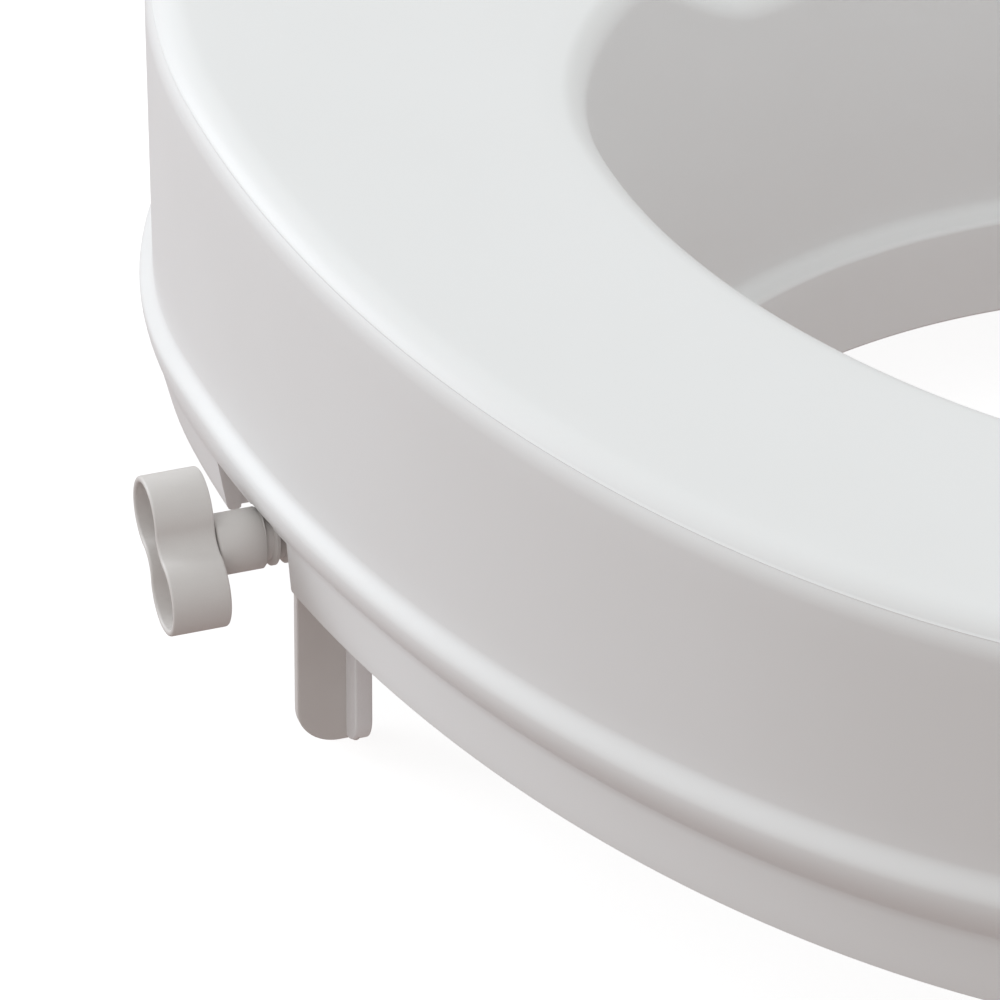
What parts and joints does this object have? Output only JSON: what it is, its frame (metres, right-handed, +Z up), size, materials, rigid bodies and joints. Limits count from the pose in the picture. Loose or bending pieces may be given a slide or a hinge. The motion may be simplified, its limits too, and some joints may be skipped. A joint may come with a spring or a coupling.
{
  "type": "raised toilet seat",
  "caption": "Raised toilet seat: a moulded ring with a deep skirt and inner collar, and screw clamps at its sides that grip the bowl.",
  "frame": {"origin": "middle of the base, level with the clamp arms' tips", "axes": "+Z up, +Y along the seat towards its broad rear, +X to the right"},
  "size_m": [0.4096, 0.4296, 0.1362],
  "materials": {
    "white_shell": "smooth white moulded plastic",
    "grey_clamp": "warm light grey moulded plastic",
    "soft_pad": "soft matt rubber",
    "steel": "bright zinc"
  },
  "bodies": {
    "seat": {"seat_shell": "white_shell", "rim_pad_front": "soft_pad", "rim_pad_rear": "soft_pad", "rim_pad_left": "soft_pad", "rim_pad_right": "soft_pad", "guide_block_left": "grey_clamp", "guide_screw_left_a": "steel", "guide_screw_left_b": "steel", "guide_block_right": "grey_clamp", "guide_screw_right_a": "steel", "guide_screw_right_b": "steel"},
    "left_screw": {"spindle_left": "grey_clamp", "knob_left": "grey_clamp", "knob_screw_left": "steel", "retaining_clip_left": "steel"},
    "left_clamp": {"clamp_arm_left": "grey_clamp", "arm_pad_left": "soft_pad"},
    "right_screw": {"spindle_right": "grey_clamp", "knob_right": "grey_clamp", "knob_screw_right": "steel", "retaining_clip_right": "steel"},
    "right_clamp": {"clamp_arm_right": "grey_clamp", "arm_pad_right": "soft_pad"}
  },
  "joints": [
    {"name": "left_screw_turn", "type": "hinge", "parent": "seat", "child": "left_screw", "pos_m": [-0.18028, 0.01325, 0.0535], "axis": [1, 0, 0], "range_deg": [-61, 721]},
    {"name": "left_clamp_slide", "type": "slide", "parent": "seat", "child": "left_clamp", "axis": [1, 0, 0], "range_m": [-0.0005, 0.006]},
    {"name": "right_screw_turn", "type": "hinge", "parent": "seat", "child": "right_screw", "pos_m": [0.18028, 0.01325, 0.0535], "axis": [-1, 0, 0], "range_deg": [-61, 721]},
    {"name": "right_clamp_slide", "type": "slide", "parent": "seat", "child": "right_clamp", "axis": [-1, 0, 0], "range_m": [-0.0005, 0.006]}
  ],
  "couplings": [
    {"joint": "left_screw_turn", "follows": "left_clamp_slide", "rad_per_m": 2094.4},
    {"joint": "right_screw_turn", "follows": "right_clamp_slide", "rad_per_m": 2094.4}
  ]
}
